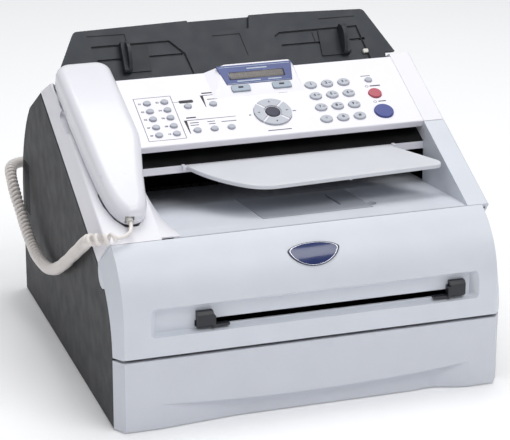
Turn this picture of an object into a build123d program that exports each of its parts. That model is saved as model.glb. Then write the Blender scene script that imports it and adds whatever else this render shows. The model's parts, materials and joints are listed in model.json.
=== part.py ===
"""Desktop laser fax machine with a corded handset, as separate named sub-parts.

Frame: X to the right as seen from the front, Y to the back, Z up.
The origin is on the table under the centre of the casing. All sizes are in millimetres.
"""
from build123d import *
from math import atan, cos, pi, radians, sin, tan
import os

# ---- overall casing ----
half_width = 187.0
half_depth = 186.5
wall = 2.5
seam = 0.5                # gap between neighbouring shells
casing_bottom = 1.5
foot_height = 3.0

# ---- slopes and lines of the side view ----
slope = radians(23.85)    # slope of the control panel and the cradle
panel_foot_y = -33.0      # front edge of the control panel
panel_foot_z = 215.6
band_slope = atan(0.45)   # slope of the lower edge of the light upper casing
band_at_centre = 201.0    # height of that edge over the origin
front_seam_y = -145.0     # seam between the front cover and the upper casing
cover_edge_y = -174.0     # front edge of the dark side covers
crease_x = 179.0          # where the front face meets its side chamfers
shoulder_y = -128.0       # front end of the straight top of a side cover
casing_rear_y = 62.0      # rear end of the sloping top
tail_y = 90.0             # rear end of the light upper casing

# ---- tray, covers and seams ----
tray_top = 68.4
cover_bottom = 71.2
cover_pin = (-181.5, 74.5)        # y, z of the front cover's hinge
cover_pin_radius = 1.2
side_depth = 18.0                 # how far a side cover reaches inwards
frame_x = 155.0                   # inner side plates
tray_half = 138.0

# ---- upper casing ----
cradle_inner_x = -120.0            # beside the panel
cradle_edge_x = -131.5             # beside the deck, under the handset
deck_seam_x = -113.5               # foot of the slope from there to the deck
panel_left, panel_right = -120.0, 165.0
panel_front_v, panel_rear_v = 0.5, 99.0
panel_depth = 8.0
panel_pin_y, panel_pin_z = 57.0, 248.5
deck_front_z, deck_fall = 164.0, 0.11
deck_flat_y = -121.0
bar_bottom, bar_top = 187.8, 195.0
cheek_end = panel_foot_y - 0.8

# ---- keys on the panel, as (x, distance up the slope) ----
key_play = 0.35
dial_columns = (69.6, 86.7, 103.8)
dial_rows = (66.6, 49.8, 32.7, 15.5)
dial_names = ("1", "2", "3", "4", "5", "6", "7", "8", "9", "star", "0", "hash")
one_touch_columns = (-98.0, -80.7)
one_touch_rows = (61.5, 49.8, 38.5, 26.6, 15.3)
function_keys = ((-59.6, 52.4), (-34.3, 52.5), (-59.7, 17.3), (-42.8, 17.3), (-25.9, 17.3), (130.0, 66.6))
start_place, start_radius = (130.0, 18.9), 9.5
stop_place, stop_radius = (130.0, 46.0), 6.5
ring_centre = (20.0, 32.4)
ring_outer, ring_inner, set_radius = 18.5, 8.6, 7.2
mode_keys = (-1.5, 40.4)          # x of the two tabs below the display
pod_left, pod_right = -27.0, 62.0
pod_start_v, pod_rise = 60.0, 8.5

# ---- handset and cradle ----
handset_x = -153.0
handset_left, handset_right = -180.0, -126.0
handset_low, handset_high = -100.5, 110.0      # ends, as distances up the slope
handset_corner = 15.0
handset_under, handset_split, handset_crown = 1.5, 8.0, 27.0
handset_rounding = 9.0
cups = ((-72.0, 17.0), (84.0, 21.0))           # distance up the slope and radius
cup_depth = 11.0
well_depth = 15.0
hook_v = 44.0

# ---- document tray ----
tray_angle = radians(53.5)
tray_foot_y, tray_foot_z = 66.0, 250.0
document_plate = 4.0

# ---- handset cord ----
coil_diameter = 12.0
tail_diameter = 4.5
plug_size = 7.6
plug_x, plug_h, plug_mouth_v = -156.5, 7.0, -103.0

panel_plane = Plane(
    origin=(0, panel_foot_y, panel_foot_z), x_dir=(1, 0, 0), z_dir=(0, -sin(slope), cos(slope))
)
tray_plane = Plane(
    origin=(0, tray_foot_y, tray_foot_z), x_dir=(1, 0, 0), z_dir=(0, -sin(tray_angle), cos(tray_angle))
)


# ---------------------------------------------------------------- helpers
def block(x0, x1, y0, y1, z0, z1):
    """Box between six limits."""
    return Pos((x0 + x1) / 2, (y0 + y1) / 2, (z0 + z1) / 2) * Box(x1 - x0, y1 - y0, z1 - z0)


def polygon(*points):
    return make_face(Polyline(*points, close=True))


def along_x(face, x0, x1):
    """Extrude a face drawn in (y, z) from x0 to x1."""
    return extrude(Plane.YZ.offset(x0) * face, amount=x1 - x0)


def rod_x(y, z, radius, x0, x1):
    return Pos((x0 + x1) / 2, y, z) * Rot(0, 90, 0) * Cylinder(radius, x1 - x0)


def rod_z(x, y, radius, z0, z1):
    return Pos(x, y, (z0 + z1) / 2) * Cylinder(radius, z1 - z0)


def up_slope(face, v0, v1):
    """Extrude a face drawn in (x, height over the panel) along the panel's slope."""
    return panel_plane.location * Pos(0, v1, 0) * Rot(90, 0, 0) * extrude(face, amount=v1 - v0)


def on_panel(shape, x=0, v=0, h=0):
    return panel_plane.location * Pos(x, v, h) * shape


def on_tray(shape, x=0, w=0, h=0):
    return tray_plane.location * Pos(x, w, h) * shape


def top_z(y):
    return panel_foot_z + tan(slope) * (y - panel_foot_y)


def band_z(y):
    return band_at_centre + tan(band_slope) * y


def seam_line_y(z):
    """Seam between the front cover and the upper casing: its y at height z."""
    share = (z - band_z(shoulder_y)) / (top_z(front_seam_y) - band_z(shoulder_y))
    return shoulder_y + share * (front_seam_y - shoulder_y)


def deck_z(y):
    return deck_front_z - deck_fall * (y - deck_flat_y)


def row_point(v, h):
    """The (y, z) of a point given by its distance up the slope and its height over it."""
    return (panel_foot_y + v * cos(slope) - h * sin(slope), panel_foot_z + v * sin(slope) + h * cos(slope))


def front_curve(front_y, end_y, end_z, rise):
    """Arc that leaves the vertical front at front_y and ends at (end_y, end_z) sloping by rise."""
    radius = (end_y - front_y) / (1 - sin(rise))
    centre_y = end_y + radius * sin(rise)
    centre_z = end_z - radius * cos(rise)
    middle = (pi + pi / 2 + rise) / 2
    start = (front_y, centre_z)
    half_way = (centre_y + radius * cos(middle), centre_z + radius * sin(middle))
    return start, ThreePointArc(start, half_way, (end_y, end_z))


# ---------------------------------------------------------------- casing outlines, in (y, z)
def side_outline():
    """Side view of a dark side cover."""
    rear = half_depth
    top = seam / 2
    start, arc = front_curve(cover_edge_y, shoulder_y, band_z(shoulder_y) - top, band_slope)
    rear_top = (tail_y, band_z(tail_y) - top)
    fall_end = (142.0, 211.0)
    return make_face([
        Line((cover_edge_y, casing_bottom), start),
        arc,
        Line((shoulder_y, band_z(shoulder_y) - top), rear_top),
        Line(rear_top, fall_end),
        ThreePointArc(fall_end, (171.5, 173.0), (rear, 128.0)),
        Line((rear, 128.0), (rear, casing_bottom)),
        Line((rear, casing_bottom), (cover_edge_y, casing_bottom)),
    ])


def band_outline(y0=front_seam_y + seam, y1=tail_y):
    """Side view of the light upper casing, from its lower edge to the sloping top."""
    front_top = (front_seam_y + seam, top_z(front_seam_y + seam))
    corner = (casing_rear_y, top_z(casing_rear_y))
    rear = (tail_y, band_z(tail_y))
    lower = (shoulder_y + seam, band_z(shoulder_y + seam))
    face = polygon(front_top, corner, rear, lower)
    return face & Pos((y0 + y1) / 2, band_at_centre, 0) * Rectangle(y1 - y0, 2 * band_at_centre)


def cover_outline(front_y, seam_share, back):
    """Side view of the front cover. seam_share says how far its top edge reaches up the seam."""
    low_y, low_z = shoulder_y, band_z(shoulder_y)
    end_y = low_y + (front_seam_y - low_y) * seam_share
    end_z = low_z + (top_z(front_seam_y) - low_z) * seam_share
    rise = band_slope + (slope - band_slope) * seam_share
    start, arc = front_curve(front_y, end_y, end_z, rise)
    inner_start, inner_arc = front_curve(cover_edge_y - seam / 2 + back, low_y + back, low_z, band_slope)
    return make_face([
        Line((front_y, cover_bottom), start),
        arc,
        Line((end_y, end_z), (low_y + back, low_z)),
        inner_arc,
        Line(inner_start, (inner_start[0], cover_bottom)),
        Line((inner_start[0], cover_bottom), (front_y, cover_bottom)),
    ])


# ---------------------------------------------------------------- side covers
def side_cover(side):
    """Dark side shell: an outer skin with a rim turned inwards, louvres near the rear."""
    outer = along_x(side_outline(), half_width - side_depth, half_width)
    top_edges = outer.faces().sort_by(Axis.X)[-1].edges().filter_by(lambda e: e.center().Y > shoulder_y)
    top_edges = top_edges.filter_by(lambda e: e.center().Z > 2 * foot_height)
    outer = fillet(top_edges, 2.0)
    inside = offset(side_outline(), amount=-wall, kind=Kind.INTERSECTION)
    shell = outer - along_x(inside, half_width - side_depth - 1, half_width - wall)
    louvre_pitch, louvre_count = 3.4, 16
    for index in range(louvre_count):
        z = 92.0 + index * louvre_pitch
        shell -= block(half_width - wall - 1, half_width + 1, 153, 176, z, z + 1.6)
    shell -= grip_notch(half_width - 30, half_width + 1)
    if side > 0:
        shell -= block(half_width - wall - 1, half_width + 1, 109.2, 130.8, 32.6, 47.4)
        return shell
    return mirror(shell, about=Plane.YZ)


grip_y, grip_z, grip_radius = -141.0, 137.5, 12.6


def grip_notch(x0, x1):
    """Room in a side cover for the front cover's finger grip, open along the way it leaves."""
    play = 0.9
    leave = Rot(0, 0, 146) * Pos(15, 0, 0) * Rectangle(30, 2 * (grip_radius + play))
    face = Circle(grip_radius + play) + leave
    return along_x(Pos(grip_y, grip_z, 0) * face, x0, x1)


# ---------------------------------------------------------------- front cover
def front_cover():
    """Front cover with chamfered sides, a recess with the manual feed slot, and hinge pins."""
    shell = cover_solid(0.0, 0.0)
    shell = fillet(shell.edges().filter_by(Axis.X).filter_by(
        lambda e: abs(e.center().Y + half_depth) < 0.1 and e.center().Z < cover_bottom + 1), 1.4)
    shell -= cover_solid(wall, 60.0)
    shell -= block(-crease_x, crease_x, -150, -120, 60, top_z(front_seam_y) - 10)
    pocket_back = -178.5
    backing = block(-157.5, 164.0, -184.6, pocket_back + 2.2, 88.4, 119.6)
    shell += backing & cover_solid(0.5, 60.0)
    mouth = Plane.XZ.offset(half_depth + 1.5) * Pos(3.3, 104.2, 0) * RectangleRounded(318.0, 29.0, 4.0)
    floor = Plane.XZ.offset(-pocket_back) * Pos(3.3, 102.6, 0) * RectangleRounded(302.0, 21.0, 2.5)
    shell -= loft([mouth, floor])
    shell -= block(-112.0, 149.5, pocket_back - 1, pocket_back + 4, 93.2, 99.6)
    for side in (-1, 1):
        grip = along_x(Pos(grip_y, grip_z, 0) * Circle(grip_radius), half_width - wall, half_width)
        arm = along_x(Pos(grip_y, grip_z, 0) * Circle(grip_radius), half_width - 8, half_width - wall)
        arm = (grip + arm) - block(0, 200, -128.6, 0, 0, 300)
        arm = arm & along_x(arm_limit(), 0, 200)
        shell += arm if side > 0 else mirror(arm, about=Plane.YZ)
        y, z = cover_pin
        lug, pin = sorted((side * 143, side * 147)), sorted((side * 143, side * 154.6))
        shell += block(*lug, -half_depth + wall - 0.6, y + 2.2, z - 2.2, z + 2.6)
        shell += rod_x(y, z, cover_pin_radius, *pin)
    swing = block(-200, 200, cover_pin[0] + 1, cover_edge_y + 2, cover_bottom - 1, cover_pin[1])
    return shell - (swing - rod_x(*cover_pin, 7.1, -201, 201))


def arm_limit():
    """Keeps the grip below the seam with the upper casing."""
    inside = offset(side_outline(), amount=1.6, kind=Kind.INTERSECTION)
    return inside & polygon(
        (-200, 100), (-120, 100), (-128.6, 142.8), (front_seam_y - 1, top_z(front_seam_y) - 1), (-200, 165))


def cover_solid(inset, back):
    """Solid of the front cover's outline; inset and back make the matching hollow."""
    seam_top = 0.0 if inset == 0 else inset / 40
    middle = cover_outline(-half_depth + inset, 1.0 - seam_top, back)
    edge = cover_outline(cover_edge_y - 1.2 + inset * 0.7, 0.06, back)
    flat = crease_x - inset * 0.6
    end = half_width - inset
    body = along_x(middle, -flat, flat)
    body += loft([Plane.YZ.offset(flat) * middle, Plane.YZ.offset(end) * edge], ruled=True)
    body += loft([Plane.YZ.offset(-flat) * middle, Plane.YZ.offset(-end) * edge], ruled=True)
    return body


def manual_guide(side):
    """One width guide of the manual feed slot, with a foot that points inwards."""
    floor_y = -178.5 - 0.3
    face = 96.0 if side < 0 else 132.4
    body = block(face, face + 15, -186.0, floor_y, 93.4, 108.6)
    body = chamfer(body.edges().filter_by(Axis.X).group_by(Axis.Y)[0], 2.5)
    ramp = 15.5
    body += block(face - ramp, face + 2, -184.5, floor_y, 93.4, 95.4)
    body += block(face - 2, face + 1, -186.0, floor_y, 93.4, 104.0)
    body += block(face + 4, face + 11, floor_y - 1, -176.6, 97.9, 99.0)
    return body if side > 0 else mirror(body, about=Plane.YZ)


# ---------------------------------------------------------------- paper tray
def paper_tray():
    """Paper tray: front panel with a finger recess, and an open pan behind it."""
    inner_crease = crease_x - 1.2
    outer = extrude(polygon(
        (-half_width, cover_edge_y - seam / 2), (-crease_x, -half_depth), (crease_x, -half_depth),
        (half_width, cover_edge_y - seam / 2)), amount=tray_top - casing_bottom)
    inner = extrude(polygon(
        (-half_width + wall + 1, cover_edge_y + 1), (-half_width + wall + 1, cover_edge_y - 1),
        (-inner_crease, -half_depth + wall), (inner_crease, -half_depth + wall),
        (half_width - wall - 1, cover_edge_y - 1), (half_width - wall - 1, cover_edge_y + 1)),
        amount=tray_top - casing_bottom - 2 * wall)
    panel = Pos(0, 0, casing_bottom) * outer
    backing = block(-150, 158, -half_depth + wall - 0.5, cover_edge_y - 1, casing_bottom, 30.0)
    panel -= Pos(0, 0, casing_bottom + wall) * inner
    panel += backing
    panel -= tray_scoop()
    pan_front, pan_rear = cover_edge_y - 2, 150.0
    pan = block(-tray_half, tray_half, pan_front, pan_rear, 7.0, 64.0)
    pan -= block(-tray_half + 2, tray_half - 2, pan_front + 2, pan_rear - 2, 9.0, 65.0)
    for x in (-100.0, 100.0):
        pan -= block(x - 38, x + 38, -25.5, -18.5, 6.0, 10.0)
    lugs = [block(s * 60 - 5, s * 60 + 5, 32.5, 37.5, 8.5, 15.0) for s in (-1, 1)]
    return panel + pan + lugs[0] + lugs[1]


def tray_scoop():
    """Finger recess under the lip of the tray's front panel."""
    left, right, depth = -145.0, 154.0, 7.0
    lip = make_face([
        ThreePointArc((left, 25.0), (4.5, 19.5), (right, 26.5)),
        Line((right, 26.5), (right, -1.0)),
        Line((right, -1.0), (left, -1.0)),
        Line((left, -1.0), (left, 25.0)),
    ])
    front = -half_depth - 1.0
    back = -half_depth + depth
    plan = make_face([
        Line((left, -half_depth), (left, front)),
        Line((left, front), (right, front)),
        Line((right, front), (right, -half_depth)),
        Spline((right, -half_depth), (118.0, back + 1.6), (96.0, back), tangents=((-1, 0.1), (-1, 0))),
        Line((96.0, back), (-62.0, back)),
        Spline((-62.0, back), (-92.0, back - 1.8), (left, -half_depth), tangents=((-1, 0), (-1, -0.1))),
    ])
    return extrude(plan, amount=40) & extrude(Plane.XZ.offset(half_depth - 20) * lip, amount=30)


def tray_lift_plate():
    """Metal plate that lifts the front of the paper stack."""
    plate = block(-104, 104, -168, -70, 12.6, 13.8) + block(-60, 60, -71, 30, 12.6, 13.8)
    for side in (-1, 1):
        plate += block(side * 50 - 3, side * 50 + 3, 28, 35, 12.6, 13.8)
    plate += rod_x(35, 13.2, 1.5, -54.0, 54.0)
    return plate - block(-20, 20, -150, -125, 12, 15)


def tray_guide(side):
    """Paper width guide of the tray."""
    body = block(106, 108.5, -55, 12, 9.3, 52) + block(84, 107, -45, 2, 9.3, 10.9)
    body += block(102, 106.5, -24, -20, 9.3, 40)
    return body if side > 0 else mirror(body, about=Plane.YZ)


# ---------------------------------------------------------------- base frame and inner units
roller_y = 95.0
heat_roller_z, pressure_roller_z, fuser_radius, fuser_shaft = 116.4, 91.6, 12.0, 4.0
pickup_y, pickup_z, pickup_radius, pickup_shaft = -110.0, 81.0, 14.0, 3.0
shaft_play = 0.06


def base_frame():
    """Floor plate, two side plates, the deck over the paper tray and cross members."""
    floor_half = half_width - side_depth - seam
    frame = block(-floor_half, floor_half, -170, 183, foot_height, foot_height + 2.5)
    for side in (-1, 1):
        inner = side * (frame_x - 2.5)
        x0, x1 = sorted((inner, side * frame_x))
        profile = polygon(
            (-168, 5), (166, 5), (166, 126), (130, 192), (88, 192), (64, 170), (42, 138),
            (-110, 149), (-138, 128),
            (-168, 92))
        ear = rod_x(*cover_pin, 2.2, x0, x1) + block(
            x0, x1, cover_pin[0], -165, cover_pin[1] - 2.2, cover_pin[1] + 6)
        frame += along_x(profile, x0, x1) + ear
    frame += block(-frame_x + 2, frame_x - 2, -160, 160, 73.6, 76.1)
    frame += block(-frame_x + 2, frame_x - 2, 162, 164.5, 5, 72)
    frame -= block(-34, 34, pickup_y - 19, pickup_y + 19, 70, 80)
    frame -= block(-100, 100, 130, 158, 70, 80)
    for y, z, radius in (
        (roller_y, heat_roller_z, fuser_shaft), (roller_y, pressure_roller_z, fuser_shaft),
        (pickup_y, pickup_z, pickup_shaft),
    ):
        frame -= rod_x(y, z, radius + shaft_play, -200, 200)
    return frame - rod_x(*cover_pin, cover_pin_radius + shaft_play, -200, 200)


def shaft_roller(y, z, radius, shaft, length, reach):
    """Roller of the given length on a shaft that reaches both side plates."""
    return rod_x(y, z, radius, -length / 2, length / 2) + rod_x(y, z, shaft, -reach, reach)


def laser_unit():
    """Flat closed box of the scanning laser, with its mirror motor cover."""
    body = block(-105, 105, -60, 28, 121, 141) + rod_z(20, -10, 24, 140, 143)
    return fillet(body.edges().filter_by(Axis.Z).sort_by(Axis.Y)[:1], 1.0)


def drum_unit():
    """Drum cartridge: a tray-shaped frame with the drum along it."""
    frame = block(-122, 122, -62, 40, 94, 117) - block(-118, 118, -30, 36, 100, 118)
    return frame + rod_x(0, 103, 12, -118, 118)


def toner_cartridge():
    """Toner hopper with a grip at its front."""
    body = block(-118, 118, -130, -66, 102, 140)
    body = chamfer(body.edges().filter_by(Axis.X).group_by(Axis.Z)[-1], 8)
    return body + block(-40, 40, -138, -129, 114, 120)


def main_board():
    """Circuit board on its edge in the left bay, with its larger components."""
    board = block(-163.0, -161.4, -70, 110, 20, 130)
    chips = ((-40, 60, 28, 5), (10, 100, 22, 4), (60, 50, 30, 9), (85, 105, 18, 12), (-50, 105, 16, 8))
    for y, z, size, depth in chips:
        board += block(-163.5 - depth, -162.5, y - size / 2, y + size / 2, z - size / 2, z + size / 2)
    return board


def power_supply():
    """Power supply case in the right bay, with the inlet block that faces the rear."""
    case = block(158.5, 168.5, 84, 150, 14, 106)
    inlet = block(140, 158, 172, 183.6, 30, 52)
    return case + inlet - block(143, 155, 178, 190, 34, 48)


def main_motor():
    """Drive motor in the right bay with its gear train."""
    motor = rod_x(20, 96, 21, 164, 182) + rod_x(20, 96, 5, 158, 164)
    motor += rod_x(20, 62, 26, 159, 162.5)
    return motor + rod_x(58, 50.0, 18, 159, 162.5)


def image_sensor():
    """Contact image sensor under its glass, level with the document guide."""
    return on_panel(block(-108, 108, 34, 50, -29, -19.4))


def rubber_feet():
    return [rod_z(x, y, 10, 0, foot_height) for x in (-150, 150) for y in (-155, 155)]


def case_screws():
    """Screws that hold the rear housing, sunk below its surface."""
    screws = []
    for x in (-screw_x, screw_x):
        for z in screw_heights:
            head = Pos(x, half_depth - 1.2, z) * Rot(90, 0, 0) * Cylinder(3.2, 1.6)
            cross = Pos(x, half_depth - 0.6, z) * Box(4, 1, 0.8) + Pos(x, half_depth - 0.6, z) * Box(0.8, 1, 4)
            shank = Pos(x, half_depth - 7, z) * Rot(90, 0, 0) * Cylinder(1.5, 10.4)
            screws.append(head + shank - cross)
    return screws


# ---------------------------------------------------------------- rear
screw_x, screw_heights = 138.0, (16.0, 108.0)
rear_door = (-105.0, 105.0, 45.0, 150.0)
door_pin, door_pin_radius = (183.0, 48.2), 1.2
jack_x, jack_z = -140.0, 124.0


def rear_housing():
    """Rear shell: top shoulder and back wall, with openings for the door, inlet and jacks."""
    face = side_outline() - offset(side_outline(), amount=-wall, kind=Kind.INTERSECTION)
    reach = half_width - side_depth - 0.3
    shell = along_x(face, -reach, reach) & block(-200, 200, tail_y + seam, 200, casing_bottom, 300)
    shell -= block(-200, 200, 0, 183.5, 0, casing_bottom + wall + 1)
    left, right, low, high = rear_door
    shell -= block(left, right, 150, 200, low - 1.8, high)
    for side in (-1, 1):
        x0, x1 = sorted((side * (right + 0.2), side * (right + 3.5)))
        shell += block(x0, x1, door_pin[0] - 1.9, half_depth - 1, door_pin[1] - 1.9, door_pin[1] + 1.9)
    shell -= rod_x(*door_pin, door_pin_radius + 0.06, left - 4, right + 4)
    shell -= block(139.6, 158.4, 150, 200, 29.6, 52.4)
    half = plug_size / 2 + 0.3
    shell -= block(jack_x - half, jack_x + half, 150, 200, jack_z - half, jack_z + half)
    for x in (-124, -108):
        shell -= block(x - 6, x + 6, 150, 200, 24, 34)
    for x in (-screw_x, screw_x):
        for z in screw_heights:
            shell += Pos(x, half_depth - 3.0, z) * Rot(90, 0, 0) * Cylinder(5.0, 4.0)
            shell -= Pos(x, half_depth, z) * Rot(90, 0, 0) * Cylinder(3.6, 4.6)
            shell -= Pos(x, half_depth - 5, z) * Rot(90, 0, 0) * Cylinder(1.8, 10)
    return shell


def rear_cover():
    """Jam door in the back wall, hinged at its lower edge."""
    left, right, low, high = rear_door
    play = 0.6
    face = side_outline()
    door = block(left + play, right - play, 160, 200, low + play, high - play) & along_x(face, -200, 200)
    door -= along_x(offset(face, amount=-wall, kind=Kind.INTERSECTION), -200, 200)
    door += block(left + 6, left + 8, 170, half_depth - 2, low + 8, 128)
    door += block(right - 8, right - 6, 170, half_depth - 2, low + 8, 128)
    door -= block(-22, 22, half_depth - 1.4, 200, high - 32, high - 24)
    y, z = door_pin
    for side in (-1, 1):
        lug = sorted((side * (right - 6), side * (right - 2)))
        pin = sorted((side * (right - 6), side * (right + 3.2)))
        door += block(*lug, y - 1.6, half_depth - 1, z - 1.9, z + 1.9) + rod_x(y, z, door_pin_radius, *pin)
    return door


# ---------------------------------------------------------------- upper casing
def cradle_void():
    """Inside of the cradle's shell, in (y, z)."""
    front = front_seam_y + seam + wall + 0.5
    return polygon(
        (front, 120), (front, top_z(front) - wall * 1.1), (casing_rear_y - 1.5, top_z(casing_rear_y) - 4.0),
        (tail_y - 3, band_z(tail_y) - 1.0), (tail_y - 3, 120))


def handset_plan(inset=0.0):
    """Outline of the handset seen from above: a broad upper end, and a narrow round lower end."""
    left, right, high = handset_left + inset, handset_right - inset, handset_high - inset
    round_off = handset_corner - inset
    diagonal = round_off * (1 - sin(pi / 4))
    tip = (-154.5, handset_low + inset)
    left_side = (
        (left + 1.6, 10.0), (left + 6.2, -62.0 + 0.4 * inset), (left + 12.0, -88.0 + 0.6 * inset), tip)
    right_side = ((right - 9.6, -74.0 + 0.4 * inset), (right - 0.3, -20.0), (right, high - round_off))
    return make_face([
        Line((right - round_off, high), (left + round_off, high)),
        ThreePointArc((left + round_off, high), (left + diagonal, high - diagonal), (left, high - round_off)),
        Spline((left, high - round_off), *left_side, tangents=((0, -1), (1, 0))),
        Spline(tip, *right_side, tangents=((1, 0), (0, 1))),
        ThreePointArc(
            (right, high - round_off), (right - diagonal, high - diagonal), (right - round_off, high)),
    ])


def wells():
    """Outlines of the two wells, which follow the handset's ends with a small margin."""
    lower = polygon(
        (-175.5, -54.0), (-173.5, -72.0), (-168.0, -90.0), (-160.0, -101.8), (-148.0, -101.8),
        (-139.5, -88.0), (-134.8, -74.0), (-134.8, -54.0))
    left, right, low, high = handset_left - 1.0, handset_right + 1.7, 58.0, handset_high + 2.0
    upper = polygon((left, low), (left, high), (right, high), (right, low))
    lower = fillet(lower.vertices(), 3.5)
    upper = fillet(upper.vertices().group_by(Axis.Y)[-1], 13.0)
    return [lower, fillet(upper.vertices().group_by(Axis.Y)[0], 5.0)]


def cradle_slope():
    """Sloping skin from the cradle's edge down to the seam with the deck."""
    rear, bend, front = cheek_end - 0.3, deck_flat_y, -142.0
    low_rear, low_bend, low_front = deck_z(rear) + 0.4, deck_front_z + 0.6, 166.0
    tall = polygon(
        (rear, low_rear), (rear, top_z(rear)), (bend, top_z(bend)), (front, top_z(front)),
        (front, low_front), (bend, low_bend))
    low = polygon(
        (rear, low_rear), (rear, low_rear + 1.0), (bend, low_bend + 1.0), (front, low_front + 0.9),
        (front, low_front), (bend, low_bend))
    start = Plane.YZ.offset(cradle_edge_x - 1.5)
    wedge = loft([start * tall, Plane.YZ.offset(deck_seam_x) * low], ruled=True)
    return wedge - Pos(-3.2, 0, -2.6) * wedge


def handset_cradle():
    """Cradle for the handset: sloping top with two wells, outer wall, slope down to the deck."""
    right, side = cradle_inner_x - 0.3, -half_width
    outer = along_x(band_outline(), side, right) - block(cradle_edge_x, 0, -200, cheek_end, 0, 300)
    left_cut = polygon((side - 1, -31), (side, -31), (side + 4.5, 1), (side - 1, 1))
    outer -= up_slope(left_cut, -130, 130)
    left_edge = outer.edges().filter_by(lambda e: abs(e.center().X - side - 4.4) < 0.4 and e.length > 150)
    outer = fillet(left_edge, 2.0)
    hollow = along_x(cradle_void(), side + 6.8, right - wall)
    hollow -= block(cradle_edge_x - wall, 0, -200, cheek_end + wall, 0, 300)
    body = outer - hollow
    side_wall = polygon(
        (cheek_end, bar_bottom), (casing_rear_y - 2, 210), (casing_rear_y - 2, top_z(casing_rear_y - 2) - 1),
        (cheek_end, top_z(cheek_end) - 1))
    body += along_x(side_wall, right - wall, right) + cradle_slope()
    for outline in wells():
        box = outline.bounding_box()
        backing = block(
            box.min.X - 2, box.max.X + 2, box.min.Y - 2, box.max.Y + 2, -well_depth - 2, -1.5)
        body += on_panel(backing) & outer
        body -= on_panel(extrude(outline, amount=well_depth + 10), 0, 0, -well_depth)
    scoop_v, scoop_depth = 46.0, 5.0
    body += on_panel(block(-half_width + 1, -171, scoop_v - 22, scoop_v + 22, -scoop_depth - 3, -1)) & outer
    body -= on_panel(extrude(Ellipse(4.5, 17), amount=30), -half_width + 6.5, scoop_v, -scoop_depth)
    body -= on_panel(rod_z(handset_x, hook_v, 4.4, -20, 10))
    return body - rod_x(panel_pin_y, panel_pin_z, 2.56, panel_left - 5, panel_left)


def top_cover():
    """Top cover: output deck with the flap's pocket, and the right cheek."""
    deck = along_x(polygon(
        (front_seam_y + seam, top_z(front_seam_y + seam)), (-139, 165.0), (deck_flat_y, deck_front_z),
        (38, deck_z(38)), (38, deck_z(38) - wall), (deck_flat_y, deck_front_z - wall),
        (seam_line_y(deck_front_z - wall) + 2 * seam, deck_front_z - wall)), cradle_inner_x, 187)
    cheek = along_x(band_outline(y1=cheek_end), 165, half_width)
    front_part = block(0, 200, -200, panel_foot_y - wall, 0, 300)
    cheek -= along_x(cradle_void(), 165 + wall, half_width - wall) & front_part
    lower = polygon((-138, 150), (-120, 145), (cheek_end, 150), (cheek_end, 200), (-138, 166))
    inner_wall = along_x(lower, 165, 165 + wall)
    deck -= block(165 + wall, 200, -200, 200, 0, 300)
    outer_edge = cheek.edges().filter_by(
        lambda e: e.center().X > half_width - 1 and e.center().Z > 176 and e.length > 90)
    edge = chamfer(outer_edge, 2.0)
    left, right, front, rear = -26.0, 83.0, -113.0, -27.0
    shell = deck + edge + inner_wall
    pocket = along_x(polygon(
        (front - 3, deck_z(front) - 2), (rear + 3, deck_z(rear) - 2), (rear + 3, deck_z(rear) - 7),
        (front - 3, deck_z(front) - 7)), left - 3, right + 12)
    shell += pocket
    shell -= along_x(polygon(
        (front, 190), (rear, 190), (rear, deck_z(rear) - 5), (front, deck_z(front) - 5)), left, right)
    shell -= rod_z(right - 1, -97, 9.5, deck_z(-97) - 5.0, 190)
    return shell - rod_x(*flap_pin, flap_pin_radius + 0.06, left - 2, right + 2)


flap_pin, flap_pin_radius = (-29.0, 152.4), 0.7


def output_flap():
    """Flap in the output deck, hinged at its rear edge."""
    front, rear = -111.4, -27.7
    plate = along_x(polygon(
        (front, deck_z(front)), (rear, deck_z(rear)), (rear, deck_z(rear) - 2.2), (front, deck_z(front) - 2.2)),
        -25.2, 82.2)
    under = along_x(polygon(
        (front, deck_z(front)), (rear, deck_z(rear)), (rear, deck_z(rear) - 4), (front, deck_z(front) - 4)),
        -25, 82)
    plate += block(-20, -18.5, -100, -40, 140, 170) & under
    plate -= block(57.0, 59.2, -91, -48, 140, 180)
    return plate + rod_x(*flap_pin, flap_pin_radius, -27.4, 84.4)


sensor_v, feed_v = 42.0, 74.0
feed_radius, feed_shaft, feed_h = 9.0, 3.0, -25.0


def scanner_outline():
    """Side view of the document path body, in (y, z)."""
    return polygon(
        (panel_foot_y - 0.3, bar_bottom), (panel_foot_y - 0.3, bar_top), (56.0, bar_top + tan(slope) * 89.3),
        (65.3, tray_foot_z - 1.0), (68.6, 246.6), (tail_y, band_z(tail_y)), (tail_y, 206), (60, 197))


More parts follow.
